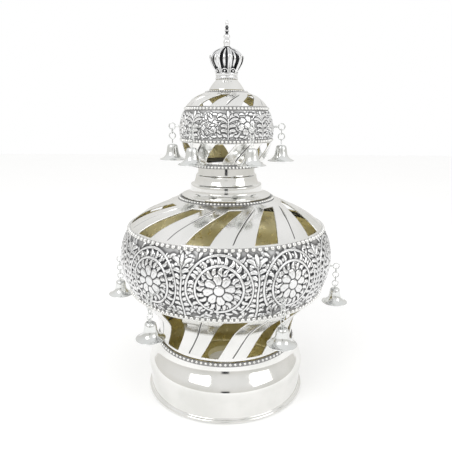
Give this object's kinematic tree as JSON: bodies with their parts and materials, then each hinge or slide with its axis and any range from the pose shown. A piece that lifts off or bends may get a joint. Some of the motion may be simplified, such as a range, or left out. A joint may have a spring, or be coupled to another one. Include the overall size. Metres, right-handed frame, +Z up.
{
  "type": "torah crown",
  "caption": "Silver torah crown: a drum foot with stave sockets, a pierced swirled bulb with a chased flower band, a smaller globe, a crown finial and hanging bells.",
  "frame": {"origin": "centre of the foot, on the plane it stands on", "axes": "+Z up along the axis of revolution; -Y is the side facing the camera in the main view; +X to its right"},
  "size_m": [0.2748, 0.251, 0.4014],
  "materials": {
    "polished_silver": "silver-plated, polished",
    "chased_silver": "silver-plated, chased relief with dark oxide in the hollows, warm gilt inside",
    "gilt_interior": "plain plate, warm toned and less polished"
  },
  "bodies": {
    "root": {"base_drum": "polished_silver", "stave_plate": "gilt_interior", "bulb": "chased_silver", "neck": "polished_silver", "globe": "chased_silver", "globe_collar": "polished_silver", "finial_crown": "chased_silver", "bulb_hanger_1": "polished_silver", "bulb_hanger_2": "polished_silver", "bulb_hanger_3": "polished_silver", "bulb_hanger_4": "polished_silver", "bulb_hanger_5": "polished_silver", "bulb_hanger_6": "polished_silver", "bulb_bell_1": "polished_silver", "bulb_bell_2": "polished_silver", "bulb_bell_3": "polished_silver", "bulb_bell_4": "polished_silver", "bulb_bell_5": "polished_silver", "bulb_bell_6": "polished_silver", "globe_hanger_1": "polished_silver", "globe_hanger_2": "polished_silver", "globe_hanger_3": "polished_silver", "globe_hanger_4": "polished_silver", "globe_hanger_5": "polished_silver", "globe_hanger_6": "polished_silver", "globe_bell_1": "polished_silver", "globe_bell_2": "polished_silver", "globe_bell_3": "polished_silver", "globe_bell_4": "polished_silver", "globe_bell_5": "polished_silver", "globe_bell_6": "polished_silver"}
  },
  "joints": []
}
